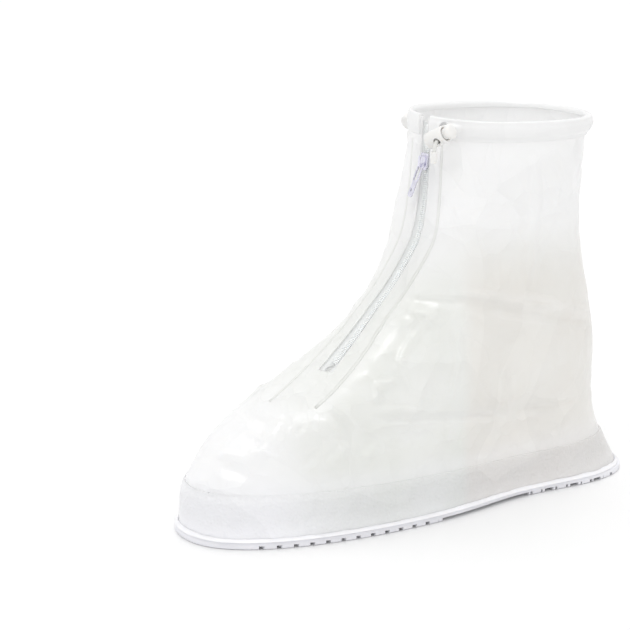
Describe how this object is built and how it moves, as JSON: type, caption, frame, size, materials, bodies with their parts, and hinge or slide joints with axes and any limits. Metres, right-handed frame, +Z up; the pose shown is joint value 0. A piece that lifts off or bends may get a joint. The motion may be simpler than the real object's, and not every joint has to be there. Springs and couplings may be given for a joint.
{
  "type": "reusable rain shoe cover",
  "caption": "Boot-shaped waterproof cover pulled over a shoe, with a treaded sole, a front zip with a flap, and a drawcord top with spring toggles.",
  "frame": {"origin": "on the underside of the sole, in the middle of its length", "axes": "-X towards the toe, -Y towards the inner side of the foot, +Z up through the open top"},
  "size_m": [0.3095, 0.1198, 0.2349],
  "materials": {
    "milky_film": "milky translucent soft vinyl film, glossy",
    "grained_film": "milky vinyl film with a fine leather grain",
    "sole_vinyl": "pale moulded vinyl, satin",
    "zip_tape": "white woven tape",
    "zip_coil": "pale nylon coil with a blue-green tint",
    "slider_metal": "bright nickel plate",
    "toggle_plastic": "off-white moulded plastic",
    "spring_steel": "dull spring wire",
    "eyelet_metal": "satin nickel",
    "white_cord": "white braided elastic cord"
  },
  "bodies": {
    "cover": {"sole": "sole_vinyl", "lower_band": "grained_film", "edge_welt": "sole_vinyl", "upper": "milky_film", "top_casing": "milky_film", "inner_flap": "milky_film", "zip_tape_near": "zip_tape", "zip_tape_far": "zip_tape", "zip_coil": "zip_coil", "zip_slider": "slider_metal", "drawcord": "white_cord", "cord_eyelet_near": "eyelet_metal", "cord_eyelet_far": "eyelet_metal", "toggle_barrel_near": "toggle_plastic", "toggle_barrel_far": "toggle_plastic", "toggle_spring_near": "spring_steel", "toggle_spring_far": "spring_steel", "cord_tip_near": "toggle_plastic", "cord_tip_far": "toggle_plastic"},
    "pull": {"zip_pull": "slider_metal"},
    "near_button": {"toggle_button_near": "toggle_plastic"},
    "far_button": {"toggle_button_far": "toggle_plastic"}
  },
  "joints": [
    {"name": "pull_swing", "type": "hinge", "parent": "cover", "child": "pull", "pos_m": [0.00683, -0.00159, 0.20537], "axis": [0, 1, 0], "range_deg": [0, 120]},
    {"name": "near_button_press", "type": "slide", "parent": "cover", "child": "near_button", "axis": [-0.3372, 0.8335, -0.4377], "range_m": [0, 0.0022], "stiffness_N_per_m": 500, "deforming": ["toggle_spring_near"]},
    {"name": "far_button_press", "type": "slide", "parent": "cover", "child": "far_button", "axis": [-0.8714, -0.2213, -0.4377], "range_m": [0, 0.0022], "stiffness_N_per_m": 500, "deforming": ["toggle_spring_far"]}
  ]
}
